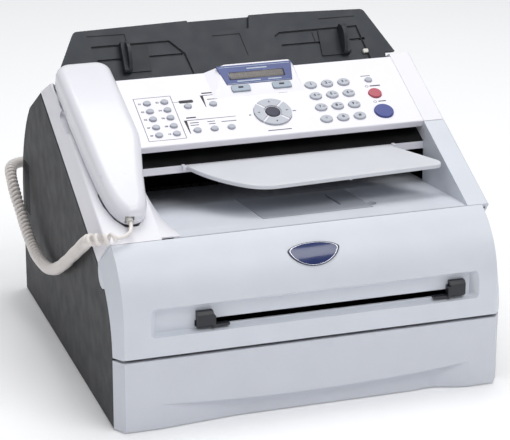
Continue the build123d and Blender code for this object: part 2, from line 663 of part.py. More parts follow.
def scanner_housing():
    """Scanner housing: document guide, bar over the deck, right shoulder strip."""
    left, right = panel_left + 0.2, panel_right + 0.3
    body = along_x(scanner_outline(), left, right)
    inside = offset(scanner_outline(), amount=-wall, kind=Kind.INTERSECTION)
    body -= along_x(inside, left + wall, right - 0.1)
    strip = along_x(band_outline(y0=panel_foot_y + 0.2), right, half_width)
    rear_part = block(0, 200, panel_foot_y + wall, 200, 0, 300)
    strip -= along_x(cradle_void(), right + wall, half_width - wall) & rear_part
    edges = strip.edges().filter_by(
        lambda e: e.center().X > half_width - 1 and e.center().Z > 220 and e.length > 60)
    strip = chamfer(edges, 2.0)
    side_wall = polygon(
        (panel_foot_y + 0.2, bar_bottom), (60, 197), (60, top_z(60) - 1),
        (panel_foot_y + 0.2, top_z(panel_foot_y) - 1))
    body += strip + along_x(side_wall, right, right + wall)
    body -= on_panel(block(-108.4, 108.4, sensor_v - 8.4, sensor_v + 8.4, -30, -15))
    body -= on_panel(block(-60.5, 60.5, feed_v - 11, feed_v + 11, -30, -15))
    for side in (-1, 1):
        body += on_panel(block(side * 66 - 2, side * 66 + 2, feed_v - 5, feed_v + 5, -32, -20))
    for x0, x1 in ((-80.6, -77.8), (131.6, 134.4)):
        body += block(x0, x1, support_y - 2.0, panel_foot_y, support_z - 2.1, support_z + 2.1)
    body -= rod_x(support_y, support_z, support_pin_radius + 0.06, -82, 136)
    feed_y, feed_z = row_point(feed_v, feed_h)
    body -= rod_x(feed_y, feed_z, feed_shaft + shaft_play, -72, 72)
    return body - rod_x(panel_pin_y, panel_pin_z, 2.56, panel_right - 1, panel_right + 5)


def document_feed_roller():
    y, z = row_point(feed_v, feed_h)
    body = rod_x(y, z, feed_shaft, -69, 69)
    for x in (-40, 0, 40):
        body += rod_x(y, z, feed_radius, x - 12, x + 12)
    return body


# ---------------------------------------------------------------- document output support
support_y, support_z, support_pin_radius = -37.0, 194.0, 1.1
support_tilt = 3.6        # how far its front hangs down, in degrees


def document_output_support():
    """Plate that carries the scanned originals, with a curved left edge."""
    outline = make_face([
        Line((-77.0, -36.5), (128.0, -36.5)),
        Line((128.0, -36.5), (158.5, -84.0)),
        Spline((158.5, -84.0), (159.5, -91.0), (153.0, -96.0), tangents=((0.5, -0.8), (-0.95, -0.1))),
        Line((153.0, -96.0), (-8.0, -104.0)),
        Spline((-8.0, -104.0), (-44.0, -88.0), (-77.0, -36.5), tangents=((-1, -0.05), (-0.35, 1))),
    ])
    plate = Pos(0, 0, support_z - 2) * extrude(outline, amount=4)
    plate = fillet(plate.edges().group_by(Axis.Z)[-1], 1.4)
    for x in (-60, 110):
        plate += block(x - 6, x + 6, -44, support_y + 1.5, support_z - 5, support_z)
    for x in (-12, 8, 66):
        plate += block(x - 1, x + 1, -98, -50, support_z - 4, support_z - 1)
    for x0, x1 in ((-80.2, -70.0), (120.0, 134.0)):
        plate += rod_x(support_y, support_z, support_pin_radius, x0, x1)
    hinge = Pos(0, support_y, support_z)
    return hinge * Rot(support_tilt, 0, 0) * hinge.inverse() * plate


# ---------------------------------------------------------------- control panel
def panel_solid(inset):
    """Panel body with its raised display pod; inset shrinks it to make the hollow."""
    bottom = -panel_depth - (2 if inset else 0)
    body = block(
        panel_left + inset, panel_right - inset, panel_front_v + inset, panel_rear_v - inset, bottom, -inset)
    arch = polygon(
        (pod_left - 4 + inset, -4), (pod_left - 4 + inset, -inset), (pod_left + 16 + inset, pod_rise - inset),
        (pod_right - 6 - inset, pod_rise - inset), (pod_right - inset, -inset), (pod_right - inset, -4))
    arch = fillet(arch.vertices().group_by(Axis.Y)[-1], 6)
    pod = Pos(0, panel_rear_v - inset, 0) * Rot(90, 0, 0) * extrude(arch, amount=panel_rear_v - 50)
    side = polygon(
        (pod_start_v + inset * 4, -inset), (panel_rear_v, pod_rise - inset), (panel_rear_v, -4),
        (pod_start_v, -4))
    wedge = extrude(Plane.YZ.offset(-60) * side, amount=160)
    return body + (pod & wedge)


def key_hole(radius_x, radius_y):
    return extrude(Ellipse(radius_x + key_play, radius_y + key_play), amount=40, both=True)


dial_size = (6.0, 4.8)
small_size = (3.6, 3.0)
mode_size = (9.5, 4.0)


def dial_places():
    places = [(x, v) for v in dial_rows for x in dial_columns]
    return dict(zip(dial_names, places))


def small_places():
    return [(x, v) for x in one_touch_columns for v in one_touch_rows] + list(function_keys)


def control_panel():
    """Control panel shell with a hole for every key and a seat for the display."""
    shell = panel_solid(0.0)
    lip = shell.edges().filter_by(Axis.X).group_by(Axis.Y)[0]
    shell = fillet(lip, 1.2)
    shell -= panel_solid(2.2)
    for x, v in dial_places().values():
        shell -= Pos(x, v, 0) * key_hole(*dial_size)
    for x, v in small_places():
        shell -= Pos(x, v, 0) * key_hole(*small_size)
    for x in mode_keys:
        shell -= Pos(x, pod_start_v + 9.5, 0) * extrude(
            RectangleRounded(2 * mode_size[0] + 0.7, 2 * mode_size[1] + 0.7, 2), amount=40, both=True)
    for (x, v), radius in ((start_place, start_radius), (stop_place, stop_radius), (ring_centre, ring_outer)):
        shell -= Pos(x, v, 0) * key_hole(radius, radius)
    shell -= display_solid(0.3, 3)
    shell = on_panel(shell)
    for x0, x1 in ((panel_left - 2.4, panel_left + 3), (panel_right - 3, panel_right + 2.4)):
        shell += rod_x(panel_pin_y, panel_pin_z, 2.5, x0, x1)
    return shell


pod_pitch = atan(pod_rise / (panel_rear_v - pod_start_v))


def display_solid(play, depth):
    """Trapezoid of the display window, in the panel's own frame."""
    face = make_face(Polyline(
        (-20.0 - play, 38.0 + play), (57.0 + play, 38.0 + play), (52.5 + play, 15.0 - play),
        (-14.0 - play, 15.0 - play), close=True))
    return Pos(0, pod_start_v, 0) * Rot(pod_pitch * 180 / pi, 0, 0) * Pos(0, 0, -depth / 2) * extrude(
        face, amount=depth)


def display_window():
    return on_panel(display_solid(0.0, 3.0) & Pos(0, pod_start_v, 0) * Rot(pod_pitch * 180 / pi, 0, 0) * block(
        -30, 70, 0, 45, -1.5, 0.4))


def panel_board():
    """Key board under the panel, with a pillar for the display module."""
    board = block(panel_left + 8, panel_right - 8, 5, 96, -7.6, -6.2)
    return on_panel(board + block(-12, 49, pod_start_v + 20, pod_start_v + 33, -6.4, -1.5))


cap_height, cap_foot = 2.0, -4.6


def key_cap(face, round_top=0.7):
    cap = Pos(0, 0, cap_foot) * extrude(face, amount=cap_height - cap_foot)
    return fillet(cap.edges().group_by(Axis.Z)[-1], round_top)


def navigation_ring():
    """Four key segments on one carrier ring."""
    ring = Pos(0, 0, cap_foot) * extrude(Circle(ring_outer) - Circle(ring_inner), amount=cap_height - cap_foot)
    for angle in (45, -45):
        ring -= Rot(0, 0, angle) * block(-30, 30, -1.2, 1.2, cap_foot + 3, cap_height + 1)
    return ring


def small_keys():
    """One-touch keys, function keys and mode tabs."""
    keys = [on_panel(key_cap(Ellipse(*small_size)), x, v) for x, v in small_places()]
    for x in mode_keys:
        outline = RectangleRounded(2 * mode_size[0], 2 * mode_size[1], 1.8)
        cap = Pos(0, 0, cap_foot) * extrude(outline, amount=7.6)
        keys.append(on_panel(cap, x, pod_start_v + 9.5))
    return keys


# ---------------------------------------------------------------- document tray
def document_tray():
    """Upright tray for the originals, with two recesses and the guides' slots."""
    left, right = -150.0, 150.0
    outline = make_face(Polyline(
        (-175.0, 9.0), (left, 57.0), (-35.0, 59.5), (-28.0, 46.0), (27.0, 46.0), (29.5, 60.0), (60.0, 60.0),
        (right, 57.0), (175.0, 9.0), (164.5, 9.0), (164.5, 1.4), (-118.5, 1.4), (-118.5, 9.0), close=True))
    corners = outline.vertices().filter_by(lambda p: abs(abs(p.X) - 150) < 1)
    outline = fillet(corners, 6)
    plate = Pos(0, 0, -document_plate) * extrude(outline, amount=document_plate)
    recess_left = make_face(Polyline((-135, 40.3), (-56.4, 40.4), (-42.2, 25.5), (-36, 0), (-132, 0), close=True))
    recess_right = make_face(Polyline((52, 36), (57.5, 39.5), (140, 40), (149, 0), (57, 0), close=True))
    for recess in (recess_left, recess_right):
        plate -= Pos(0, 0, -1.2) * extrude(recess, amount=3)
    for x0, x1 in ((-131, -45), (58, 146)):
        plate -= block(x0, x1, 24.0, 26.4, -3.2, 2)
    rear = block(-36, 30, 36, 59.5, -document_plate - 3.0, -document_plate)
    return on_tray(plate + rear)


def document_guide(side):
    """Width guide of the document tray: a flat foot and an upright lobed fin."""
    fin_x = 100.0 if side < 0 else 119.0
    lobe = make_face([
        Line((9.5, 0.0), (9.5, 7.0)),
        Spline(
            (9.5, 7.0), (22.0, 15.5), (33.0, 16.0), (40.0, 8.0), (38.5, 0.0), tangents=((0.5, 1), (-0.4, -1))),
        Line((38.5, 0.0), (9.5, 0.0)),
    ])
    h = -1.2 + 0.3
    fin = Pos(fin_x, 0, h) * extrude(Plane.YZ * lobe, amount=3.2)
    fin += Pos(fin_x + 3, 0, h) * extrude(Plane.YZ * (lobe & Pos(24, 4.5, 0) * Rectangle(60, 9.0)), amount=4.5)
    foot = block(fin_x - 21, fin_x + 3, 10.5, 37.5, h, h + 1.3)
    tongue = block(fin_x + 0.4, fin_x + 4, 24.4, 26.0, -2.9, h + 0.5)
    body = fin + foot + tongue
    return on_tray(body if side > 0 else mirror(body, about=Plane.YZ))


# ---------------------------------------------------------------- handset
def handset_solid(inset):
    """Arched bar, in the panel's frame; inset shrinks it to make the hollow."""
    plan = handset_plan(inset)
    low, high, top = handset_low - 10, handset_high + 10, handset_crown - inset
    side = make_face([
        Line((low, handset_under), (high, handset_under)),
        Line((high, handset_under), (high, 18.5 - inset)),
        ThreePointArc((high, 18.5 - inset), (7.0, top), (low, 14.5 - inset)),
        Line((low, 14.5 - inset), (low, handset_under)),
    ])
    body = extrude(plan, amount=40) & extrude(Plane.YZ.offset(-200) * side, amount=100)
    upper_edges = body.edges().filter_by(lambda e: e.center().Z > 14 - inset)
    return fillet(upper_edges, handset_rounding - 0.8 * inset)


def handset_jack():
    """Room for the cord's plug in the lower end of the handset, in the panel's frame."""
    half = plug_size / 2 + 0.3
    return block(plug_x - half, plug_x + half, -115, -82, plug_h - half, plug_h + half)


def handset_socket():
    """Walls around the plug."""
    half = plug_size / 2 + 1.8
    walls = block(plug_x - half, plug_x + half, -98, -80.5, handset_under + 1, plug_h + half)
    return walls & handset_solid(1.0)


def handset_outer_shell():
    shell = handset_solid(0.0) - handset_solid(2.4) + handset_socket()
    shell &= block(-200, -100, -130, 130, handset_split, 60)
    return on_panel(shell - handset_jack())


def handset_inner_shell():
    """Lower half of the handset with the two cups that sit in the wells."""
    solid, hollow = handset_solid(0.0), handset_solid(2.4)
    shell = solid - (hollow & block(-200, -100, -130, 130, handset_under + 2.4, 60))
    shell += handset_socket()
    shell &= block(-200, -100, -130, 130, 0, handset_split - 0.2)
    for v, cup_radius in cups:
        cup = rod_z(handset_x, v, cup_radius, -cup_depth, handset_under + 1)
        cup = fillet(cup.edges().group_by(Axis.Z)[0], 3)
        shell += cup
        for column in range(-2, 3):
            for row in range(-2, 3):
                if column * column + row * row <= 5:
                    shell -= rod_z(handset_x + 4 * column, v + 4 * row, 0.9, -cup_depth - 1, -cup_depth + 3)
    return on_panel(shell - handset_jack())


def hook_switch():
    """Sprung plunger that the handset holds down."""
    body = rod_z(handset_x, hook_v, 4.1, -13, 1.1)
    body = fillet(body.edges().group_by(Axis.Z)[-1], 0.9)
    return on_panel(body + rod_z(handset_x, hook_v, 6.0, -13, -11))


# ---------------------------------------------------------------- curly cord
def slope_point(x, v, h):
    y, z = row_point(v, h)
    return (x, y, z)


coil_route = [
    (-158, 222.5, 126), (-175, 219.5, 128), (-189.5, 208.5, 131), (-198.5, 192, 132), (-201.5, 174, 127.5),
    (-201.5, 155, 115), (-200, 136, 100.5), (-199, 115, 88), (-198, 92, 78.5), (-197, 66, 75), (-196, 39, 77.5),
    (-195.5, 9, 87.5), (-195.5, -27, 106), (-195.5, -65, 129), (-195, -98, 149), (-194.5, -119, 162.5),
    (-197, -138, 171.5), (-186.5, -148, 173.5), (-173.5, -147, 173),
]
base_tail_route = [
    (jack_x, 193.2, jack_z), (jack_x, 211.0, jack_z), (-145.0, 222.0, jack_z + 1), (-158, 222.5, 126),
]
handset_tail_route = [
    (-173.5, -147, 173), (-165, -145.8, 173.8), (-157.8, -139.6, 176.3),
    slope_point(plug_x, plug_mouth_v - 0.3, plug_h),
]


def corner_radii(route):
    """The largest arc that each corner of a route allows."""
    radii = []
    for before, corner, after in zip(route, route[1:], route[2:]):
        first, second = Vector(*corner) - Vector(*before), Vector(*after) - Vector(*corner)
        half_turn = radians(first.get_angle(second)) / 2
        radii.append(0.45 * min(first.length, second.length) / tan(half_turn))
    return radii


def cord_tube(route, diameter):
    """Round tube along straight runs joined by tangent arcs."""
    radii = corner_radii(route)
    print("cord radii", diameter, [round(r, 1) for r in radii])
    path = FilletPolyline(*route, radius=radii)
    start = Plane(origin=path @ 0, z_dir=path % 0)
    tube = sweep(start * Circle(diameter / 2), path=path)
    print("cord length", round(path.length, 1), "volume ratio", round(
        tube.volume / (path.length * pi * diameter ** 2 / 4), 4))
    return tube


def curly_cord():
    """The coiled stretch as one fat tube, with a plain tail at each end."""
    return [
        cord_tube(base_tail_route, tail_diameter), cord_tube(coil_route, coil_diameter),
        cord_tube(handset_tail_route, tail_diameter),
    ]


def cord_plug_base():
    half = plug_size / 2
    body = block(jack_x - half, jack_x + half, 176, 189, jack_z - half, jack_z + half)
    boot = Pos(jack_x, 191.1, jack_z) * Rot(90, 0, 0) * Cylinder(3.2, 4.2)
    return body + boot


def cord_plug_handset():
    half = plug_size / 2
    rear, front = -83.0, -97.5
    body = block(plug_x - half, plug_x + half, front, rear, plug_h - half, plug_h + half)
    boot = Pos(plug_x, (plug_mouth_v + front) / 2, plug_h) * Rot(90, 0, 0) * Cylinder(3.2, front - plug_mouth_v)
    return on_panel(body + boot)


# ---------------------------------------------------------------- power switch
switch_y, switch_z, switch_x = 120.0, 40.0, 174.6


def power_switch():
    """Rocker whose round face turns in the right side cover."""
    drum = rod_z(switch_x, switch_y, 11.0, switch_z - 7, switch_z + 7)
    body = drum & block(switch_x - 3, half_width, switch_y - 9.5, switch_y + 9.5, 0, 100)
    return body + block(185.2, 186.2, switch_y - 1, switch_y + 1, switch_z - 6, switch_z + 6)


# ---------------------------------------------------------------- export
def all_nodes():
    nodes = {
        "base_frame": base_frame(),
        "left_side_cover": side_cover(-1),
        "right_side_cover": side_cover(1),
        "rear_housing": rear_housing(),
        "top_cover": top_cover(),
        "scanner_housing": scanner_housing(),
        "handset_cradle": handset_cradle(),
        "laser_unit": laser_unit(),
        "drum_unit": drum_unit(),
        "toner_cartridge": toner_cartridge(),
        "main_board": main_board(),
        "power_supply": power_supply(),
        "main_motor": main_motor(),
        "image_sensor": image_sensor(),
        "rubber_feet": rubber_feet(),
        "case_screws": case_screws(),
        "front_cover": front_cover(),
        "rear_cover": rear_cover(),
        "paper_tray": paper_tray(),
        "tray_lift_plate": tray_lift_plate(),
        "tray_guide_left": tray_guide(-1),
        "tray_guide_right": tray_guide(1),
        "manual_guide_left": manual_guide(-1),
        "manual_guide_right": manual_guide(1),
        "output_flap": output_flap(),
        "document_output_support": document_output_support(),
        "control_panel": control_panel(),
        "display_window": display_window(),
        "panel_board": panel_board(),
        "document_tray": document_tray(),
        "document_guide_left": document_guide(-1),
        "document_guide_right": document_guide(1),
        "handset_outer_shell": handset_outer_shell(),
        "handset_inner_shell": handset_inner_shell(),
        "hook_switch": hook_switch(),
        "curly_cord": curly_cord(),
        "cord_plug_handset": cord_plug_handset(),
        "cord_plug_base": cord_plug_base(),
        "heat_roller": shaft_roller(roller_y, heat_roller_z, fuser_radius, fuser_shaft, 240, 156),
        "pressure_roller": shaft_roller(roller_y, pressure_roller_z, fuser_radius, fuser_shaft, 240, 156),
        "pickup_roller": shaft_roller(pickup_y, pickup_z, pickup_radius, pickup_shaft, 50, 156),
        "document_feed_roller": document_feed_roller(),
        "power_switch": power_switch(),
        "start_key": on_panel(key_cap(Circle(start_radius)), *start_place),
        "stop_key": on_panel(key_cap(Circle(stop_radius)), *stop_place),
        "set_key": on_panel(key_cap(Circle(set_radius)), *ring_centre),
        "navigation_ring": on_panel(navigation_ring(), *ring_centre),
        "small_keys": small_keys(),
    }
    for name, (x, v) in dial_places().items():
        nodes["dial_key_" + name] = on_panel(key_cap(Ellipse(*dial_size)), x, v)
    return nodes


os.makedirs("parts", exist_ok=True)
for name, shape in all_nodes().items():
    pieces = shape if isinstance(shape, list) else shape.solids()
    export_step(Compound(children=list(pieces)) if len(pieces) > 1 else pieces[0], "parts/" + name + ".step")
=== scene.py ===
"""Looks of the fax machine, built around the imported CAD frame. All lengths are in metres."""
import json
import math
import bpy
from mathutils import Matrix, Vector


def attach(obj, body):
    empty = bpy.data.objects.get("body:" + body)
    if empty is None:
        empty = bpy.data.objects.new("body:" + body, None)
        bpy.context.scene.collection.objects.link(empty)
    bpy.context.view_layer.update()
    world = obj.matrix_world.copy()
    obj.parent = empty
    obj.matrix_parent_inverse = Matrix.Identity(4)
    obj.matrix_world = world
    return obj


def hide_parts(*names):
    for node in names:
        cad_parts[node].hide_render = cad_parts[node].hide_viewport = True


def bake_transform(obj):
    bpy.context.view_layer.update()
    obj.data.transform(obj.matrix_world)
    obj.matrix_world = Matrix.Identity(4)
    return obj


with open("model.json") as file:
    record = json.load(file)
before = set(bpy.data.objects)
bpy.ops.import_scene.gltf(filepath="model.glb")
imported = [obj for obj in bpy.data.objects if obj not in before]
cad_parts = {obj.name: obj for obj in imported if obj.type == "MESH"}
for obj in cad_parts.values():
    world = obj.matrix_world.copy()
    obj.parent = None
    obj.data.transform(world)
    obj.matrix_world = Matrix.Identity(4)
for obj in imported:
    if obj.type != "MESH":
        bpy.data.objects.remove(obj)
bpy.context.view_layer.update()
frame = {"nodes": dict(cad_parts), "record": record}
NODES = frame["nodes"]
MM = 0.001

# ------------------------------------------------------------------ camera
YAW, PITCH, ROLL = math.radians(18.28), math.radians(20.15), math.radians(0.2)
SENSOR_WIDTH, FOCAL_LENGTH = 36.0, 152.02
CAMERA_PLACE = (-0.61727, -1.87939, 0.84557)
forward = Vector((math.sin(YAW) * math.cos(PITCH), math.cos(YAW) * math.cos(PITCH), -math.sin(PITCH)))
level = Vector((math.cos(YAW), -math.sin(YAW), 0))
above = level.cross(forward)
right = level * math.cos(ROLL) + above * math.sin(ROLL)
up = above * math.cos(ROLL) - level * math.sin(ROLL)
camera_data = bpy.data.cameras.new("camera")
camera_data.sensor_width = SENSOR_WIDTH
camera_data.lens = FOCAL_LENGTH
camera_data.clip_end = 50.0
camera = bpy.data.objects.new("camera", camera_data)
bpy.context.scene.collection.objects.link(camera)
turn = Matrix((right, up, -forward)).transposed().to_4x4()
camera.matrix_world = Matrix.Translation(Vector(CAMERA_PLACE)) @ turn
bpy.context.scene.camera = camera
bpy.context.scene.view_settings.view_transform = "Standard"

# ------------------------------------------------------------------ frames of the sloping parts
PANEL_ANGLE = math.radians(23.85)
TRAY_ANGLE = math.radians(53.5)
POD_START, POD_END, POD_RISE = 60.0, 99.0, 8.5
POD_PITCH = math.atan(POD_RISE / (POD_END - POD_START))


def sloping(y, z, angle):
    """Frame whose x runs along the object's X and whose y runs up a slope, in millimetres."""
    return Matrix.Translation((0, y * MM, z * MM)) @ Matrix.Rotation(angle, 4, "X") @ Matrix.Scale(MM, 4)


PANEL = sloping(-33.0, 215.6, PANEL_ANGLE)
TRAY = sloping(66.0, 250.0, TRAY_ANGLE)
POD = PANEL @ Matrix.Translation((0, POD_START, 0)) @ Matrix.Rotation(POD_PITCH, 4, "X")


# ------------------------------------------------------------------ materials
def new_material(name):
    """A material with its node tree and its main shader."""
    material = bpy.data.materials.new(name)
    material.use_nodes = True
    nodes, links = material.node_tree.nodes, material.node_tree.links
    shader = nodes["Principled BSDF"]
    return material, nodes, links, shader


def linear(color):
    """Display colour, 0 to 255, to linear."""
    out = []
    for value in color:
        share = value / 255.0
        out.append(share / 12.92 if share <= 0.04045 else ((share + 0.055) / 1.055) ** 2.4)
    return (*out, 1.0)


def noise(nodes, links, scale, detail=2.0, rough=0.5):
    """Noise in the object's own coordinates."""
    coordinates = nodes.new("ShaderNodeTexCoord")
    texture = nodes.new("ShaderNodeTexNoise")
    texture.inputs["Scale"].default_value = scale
    texture.inputs["Detail"].default_value = detail
    texture.inputs["Roughness"].default_value = rough
    links.new(coordinates.outputs["Object"], texture.inputs["Vector"])
    return texture.outputs["Fac"]


def spread(nodes, links, value, low, high, start=0.3, end=0.7):
    """The middle of a noise's range stretched to run from low to high."""
    ranger = nodes.new("ShaderNodeMapRange")
    ranger.inputs["From Min"].default_value = start
    ranger.inputs["From Max"].default_value = end
    ranger.inputs["To Min"].default_value = low
    ranger.inputs["To Max"].default_value = high
    links.new(value, ranger.inputs["Value"])
    return ranger.outputs["Result"]


def blend_colors(nodes, links, factor, first, second):
    """Mix of two colours by a factor."""
    mix = nodes.new("ShaderNodeMix")
    mix.data_type = "RGBA"
    mix.inputs["A"].default_value = first
    mix.inputs["B"].default_value = second
    links.new(factor, mix.inputs["Factor"])
    return mix.outputs["Result"]


def inside_box(nodes, links, low, high):
    """1 inside a box of the object's own coordinates, 0 outside it."""
    coordinates = nodes.new("ShaderNodeTexCoord")
    split = nodes.new("ShaderNodeSeparateXYZ")
    links.new(coordinates.outputs["Object"], split.inputs["Vector"])
    result = None
    for axis, least, most in zip("XYZ", low, high):
        for operation, limit in (("GREATER_THAN", least), ("LESS_THAN", most)):
            test = nodes.new("ShaderNodeMath")
            test.operation = operation
            test.inputs[1].default_value = limit
            links.new(split.outputs[axis], test.inputs[0])
            if result is None:
                result = test.outputs["Value"]
                continue
            both = nodes.new("ShaderNodeMath")
            both.operation = "MULTIPLY"
            links.new(result, both.inputs[0])
            links.new(test.outputs["Value"], both.inputs[1])
            result = both.outputs["Value"]
    return result


def plastic(name, color, roughness=0.45, vary=0.04, grain=2600.0, grain_depth=0.00001, speckle=0.03,
            coat=0.0, specular=0.5, second=None):
    """Moulded plastic: broad tone drift, fine speckle, and an eroded surface grain.

    second is (colour, box low corner, box high corner): another colour inside that box, either a part
    moulded in another colour or painted shade.
    """
    material, nodes, links, shader = new_material(name)
    base = linear(color)
    darker = tuple(c * (1 - vary) for c in base[:3]) + (1.0,)
    lighter = tuple(min(1.0, c * (1 + vary)) for c in base[:3]) + (1.0,)
    drift = spread(nodes, links, noise(nodes, links, 22.0, 3.0), 0.0, 1.0)
    tone = blend_colors(nodes, links, drift, darker, lighter)
    fine = spread(nodes, links, noise(nodes, links, grain * 0.6, 2.0), 0.0, speckle)
    mix = nodes.new("ShaderNodeMix")
    mix.data_type = "RGBA"
    mix.inputs["B"].default_value = tuple(c * 0.55 for c in base[:3]) + (1.0,)
    links.new(fine, mix.inputs["Factor"])
    links.new(tone, mix.inputs["A"])
    skin = mix.outputs["Result"]
    if second is not None:
        other = nodes.new("ShaderNodeMix")
        other.data_type = "RGBA"
        other.inputs["B"].default_value = linear(second[0])
        links.new(inside_box(nodes, links, second[1], second[2]), other.inputs["Factor"])
        links.new(skin, other.inputs["A"])
        skin = other.outputs["Result"]
    links.new(skin, shader.inputs["Base Color"])
    rough = spread(nodes, links, noise(nodes, links, 60.0, 4.0), roughness - 0.05, roughness + 0.06)
    links.new(rough, shader.inputs["Roughness"])
    bump = nodes.new("ShaderNodeBump")
    bump.inputs["Strength"].default_value = 0.35
    bump.inputs["Distance"].default_value = grain_depth
    links.new(noise(nodes, links, grain, 2.0, 0.6), bump.inputs["Height"])
    links.new(bump.outputs["Normal"], shader.inputs["Normal"])
    shader.inputs["Coat Weight"].default_value = coat
    shader.inputs["Specular IOR Level"].default_value = specular
    return material


def metal(name, color, roughness=0.35, stretch=(40.0, 900.0, 900.0)):
    """Rolled or turned metal with fine lines along one direction."""
    material, nodes, links, shader = new_material(name)
    base = linear(color)
    coordinates = nodes.new("ShaderNodeTexCoord")
    mapping = nodes.new("ShaderNodeMapping")
    mapping.inputs["Scale"].default_value = stretch
    texture = nodes.new("ShaderNodeTexNoise")
    texture.inputs["Scale"].default_value = 1.0
    texture.inputs["Detail"].default_value = 4.0
    links.new(coordinates.outputs["Object"], mapping.inputs["Vector"])
    links.new(mapping.outputs["Vector"], texture.inputs["Vector"])
    lines = spread(nodes, links, texture.outputs["Fac"], 0.0, 1.0)
    links.new(blend_colors(nodes, links, lines, tuple(c * 0.8 for c in base[:3]) + (1.0,), base),
              shader.inputs["Base Color"])
    links.new(spread(nodes, links, texture.outputs["Fac"], roughness - 0.08, roughness + 0.1),
              shader.inputs["Roughness"])
    shader.inputs["Metallic"].default_value = 1.0
    return material


MAT = {
    "dark_casing": plastic("dark_casing", (31, 32, 36), 0.6, 0.012, 1500.0, 0.00003, 0.06),
    # The housing is light plastic. Its second colour is painted shade: a near-black box over the part of
    # the housing that sits in the shadowed gap under the control panel.
    "housing_light": plastic("housing_light", (236, 235, 241), 0.45, 0.015, 1900.0, 0.00002, 0.02,
                             second=((12, 12, 14), (-0.5, -0.0331, 0.0), (0.1652, 0.0560, 0.5))),
    "key_and_tab": plastic("key_and_tab", (176, 180, 190), 0.4, 0.02, 1700.0, 0.00002, 0.05,
                           second=((158, 170, 184), (-0.02, -0.1, 0.2423), (0.06, 0.1, 0.5))),
    "light_casing": plastic("light_casing", (233, 232, 238), 0.45, 0.015, 1900.0, 0.00002, 0.02),
    "panel_white": plastic("panel_white", (240, 238, 245), 0.42, 0.012, 2200.0, 0.000012, 0.015),
    "handset_white": plastic("handset_white", (229, 229, 235), 0.32, 0.012, 1200.0, 0.000006, 0.01, 0.15),
    "cover_grey": plastic("cover_grey", (214, 218, 226), 0.45, 0.02, 1900.0, 0.000025, 0.03),
    # deck_grey is painted shade: the output flap is the same light grey plastic as the top cover, made
    # darker here for the shade it lies in under the document support.
    "deck_grey": plastic("deck_grey", (184, 188, 196), 0.5, 0.02, 1900.0, 0.000025, 0.04),
    "tray_grey": plastic("tray_grey", (208, 211, 219), 0.5, 0.02, 1900.0, 0.00003, 0.04),
    "support_grey": plastic("support_grey", (214, 216, 221), 0.4, 0.02, 1900.0, 0.00002, 0.03),
    "document_dark": plastic("document_dark", (46, 50, 57), 0.55, 0.03, 1500.0, 0.00004, 0.08),
    "document_shade": plastic("document_shade", (34, 37, 43), 0.55, 0.06, 1500.0, 0.00005, 0.18),
    "guide_grey": plastic("guide_grey", (34, 36, 41), 0.42, 0.06, 1500.0, 0.00004, 0.12),
    "display_blue": plastic("display_blue", (44, 64, 128), 0.42, 0.10, 500.0, 0.000004, 0.04, 0.25),
        "key_grey": plastic("key_grey", (184, 188, 197), 0.4, 0.02, 1700.0, 0.00002, 0.05),
    "key_dark_blue": plastic("key_dark_blue", (26, 30, 58), 0.42, 0.06, 1500.0, 0.00001, 0.05, 0.1, 0.35),
    "key_blue": plastic("key_blue", (58, 70, 140), 0.35, 0.04, 1600.0, 0.00002, 0.05),
    "key_red": plastic("key_red", (182, 80, 94), 0.35, 0.04, 1600.0, 0.00002, 0.05),
    "cord_grey": plastic("cord_grey", (232, 226, 222), 0.38, 0.05, 900.0, 0.00003, 0.04, 0.15),
    "clear_plug": plastic("clear_plug", (205, 203, 198), 0.16, 0.05, 700.0, 0.00001, 0.03, 0.5),
    "sheet_steel": metal("sheet_steel", (176, 178, 182), 0.38),
    "inner_black": plastic("inner_black", (22, 23, 25), 0.5, 0.1, 1500.0, 0.00004, 0.2),
    "board_green": plastic("board_green", (24, 86, 56), 0.35, 0.12, 800.0, 0.00003, 0.15),
    "rubber": plastic("rubber", (30, 30, 32), 0.7, 0.1, 1300.0, 0.00006, 0.2),
    "heat_roller_metal": metal("heat_roller_metal", (190, 190, 192), 0.3, (900.0, 60.0, 60.0)),
    "ink": plastic("ink", (28, 28, 40), 0.5, 0.15, 2400.0, 0.000002, 0.12),
    "ink_grey": plastic("ink_grey", (74, 76, 88), 0.5, 0.1, 2400.0, 0.000002, 0.12),
    "badge_blue": plastic("badge_blue", (24, 42, 96), 0.2, 0.08, 500.0, 0.000004, 0.04, 0.35),
    "badge_dark": plastic("badge_dark", (24, 30, 66), 0.25, 0.08, 500.0, 0.000004, 0.04, 0.5),
    "badge_silver": metal("badge_silver", (214, 216, 224), 0.22, (700.0, 700.0, 700.0)),
    "tab_grey": plastic("tab_grey", (172, 184, 198), 0.35, 0.05, 1500.0, 0.00002, 0.05),
    "opening_black": plastic("opening_black", (10, 10, 12), 0.7, 0.2, 1500.0, 0.00004, 0.2),
    "label_white": plastic("label_white", (226, 224, 216), 0.45, 0.02, 1900.0, 0.00001, 0.03),
}


def lcd_material():
    """Grey display glass with faint dot cells."""
    material, nodes, links, shader = new_material("lcd_grey")
    coordinates = nodes.new("ShaderNodeTexCoord")
    brick = nodes.new("ShaderNodeTexBrick")
    brick.offset = 0.0
    brick.inputs["Color1"].default_value = linear((128, 124, 120))
    brick.inputs["Color2"].default_value = linear((116, 112, 110))
    brick.inputs["Mortar"].default_value = linear((98, 95, 94))
    brick.inputs["Scale"].default_value = 1.0
    brick.inputs["Mortar Size"].default_value = 0.00012
    brick.inputs["Brick Width"].default_value = 0.0022
    brick.inputs["Row Height"].default_value = 0.0022
    links.new(coordinates.outputs["Object"], brick.inputs["Vector"])
    links.new(brick.outputs["Color"], shader.inputs["Base Color"])
    links.new(spread(nodes, links, noise(nodes, links, 90.0, 3.0), 0.38, 0.5), shader.inputs["Roughness"])
    shader.inputs["Specular IOR Level"].default_value = 0.3
    return material


MAT["lcd_grey"] = lcd_material()

